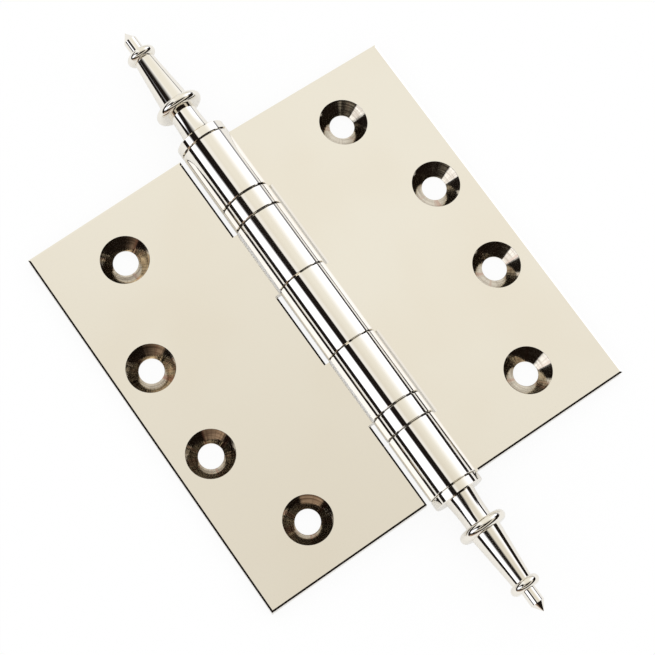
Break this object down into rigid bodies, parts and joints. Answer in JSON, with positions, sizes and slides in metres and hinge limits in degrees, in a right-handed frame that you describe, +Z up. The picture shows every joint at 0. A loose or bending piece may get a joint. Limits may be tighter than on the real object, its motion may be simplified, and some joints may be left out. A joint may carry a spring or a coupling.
{
  "type": "ball bearing butt hinge",
  "caption": "Square-cornered butt hinge with a knuckled barrel, ball bearings between knuckles, zigzag countersunk screw holes and a turned steeple finial on each end of its pin.",
  "frame": {"origin": "on the bench under the middle of the barrel, the bottom centre of the object's box; the pin axis is one barrel radius above it", "axes": "+Y along the pin towards the top finial, +X across the leaves towards the three-knuckle leaf, +Z up from the bench, out of the leaves' front faces"},
  "size_m": [0.1014, 0.1718, 0.0129],
  "materials": {
    "polished_nickel": "polished nickel plate on solid brass",
    "pin_steel": "ground steel",
    "race_steel": "ground and hardened",
    "ball_steel": "polished",
    "cage_brass": "turned brass"
  },
  "bodies": {
    "three_knuckle_leaf": {"leaf_three_knuckle": "polished_nickel", "hinge_pin": "pin_steel", "finial_top": "polished_nickel", "finial_bottom": "polished_nickel", "bearing_top_upper_race": "race_steel", "bearing_bottom_lower_race": "race_steel", "bearing_bottom_shell": "polished_nickel"},
    "two_knuckle_leaf": {"leaf_two_knuckle": "polished_nickel", "bearing_top_lower_race": "race_steel", "bearing_top_shell": "polished_nickel", "bearing_bottom_upper_race": "race_steel"},
    "bearing_top_ball_train": {"bearing_top_cage": "cage_brass", "bearing_top_ball_1": "ball_steel", "bearing_top_ball_2": "ball_steel", "bearing_top_ball_3": "ball_steel", "bearing_top_ball_4": "ball_steel", "bearing_top_ball_5": "ball_steel", "bearing_top_ball_6": "ball_steel", "bearing_top_ball_7": "ball_steel", "bearing_top_ball_8": "ball_steel"},
    "bearing_bottom_ball_train": {"bearing_bottom_cage": "cage_brass", "bearing_bottom_ball_1": "ball_steel", "bearing_bottom_ball_2": "ball_steel", "bearing_bottom_ball_3": "ball_steel", "bearing_bottom_ball_4": "ball_steel", "bearing_bottom_ball_5": "ball_steel", "bearing_bottom_ball_6": "ball_steel", "bearing_bottom_ball_7": "ball_steel", "bearing_bottom_ball_8": "ball_steel"}
  },
  "joints": [
    {"name": "leaf_swing", "type": "hinge", "parent": "three_knuckle_leaf", "child": "two_knuckle_leaf", "pos_m": [0, 0, 0.00646], "axis": [0, 1, 0], "range_deg": [-83.5, 186.4]},
    {"name": "bearing_top_roll", "type": "hinge", "parent": "three_knuckle_leaf", "child": "bearing_top_ball_train", "pos_m": [0, 0, 0.00646], "axis": [0, 1, 0], "range_deg": [-42, 93.5]},
    {"name": "bearing_bottom_roll", "type": "hinge", "parent": "three_knuckle_leaf", "child": "bearing_bottom_ball_train", "pos_m": [0, 0, 0.00646], "axis": [0, 1, 0], "range_deg": [-42, 93.5]}
  ],
  "couplings": [
    {"joint": "bearing_top_roll", "follows": "leaf_swing", "ratio": 0.5},
    {"joint": "bearing_bottom_roll", "follows": "leaf_swing", "ratio": 0.5}
  ]
}
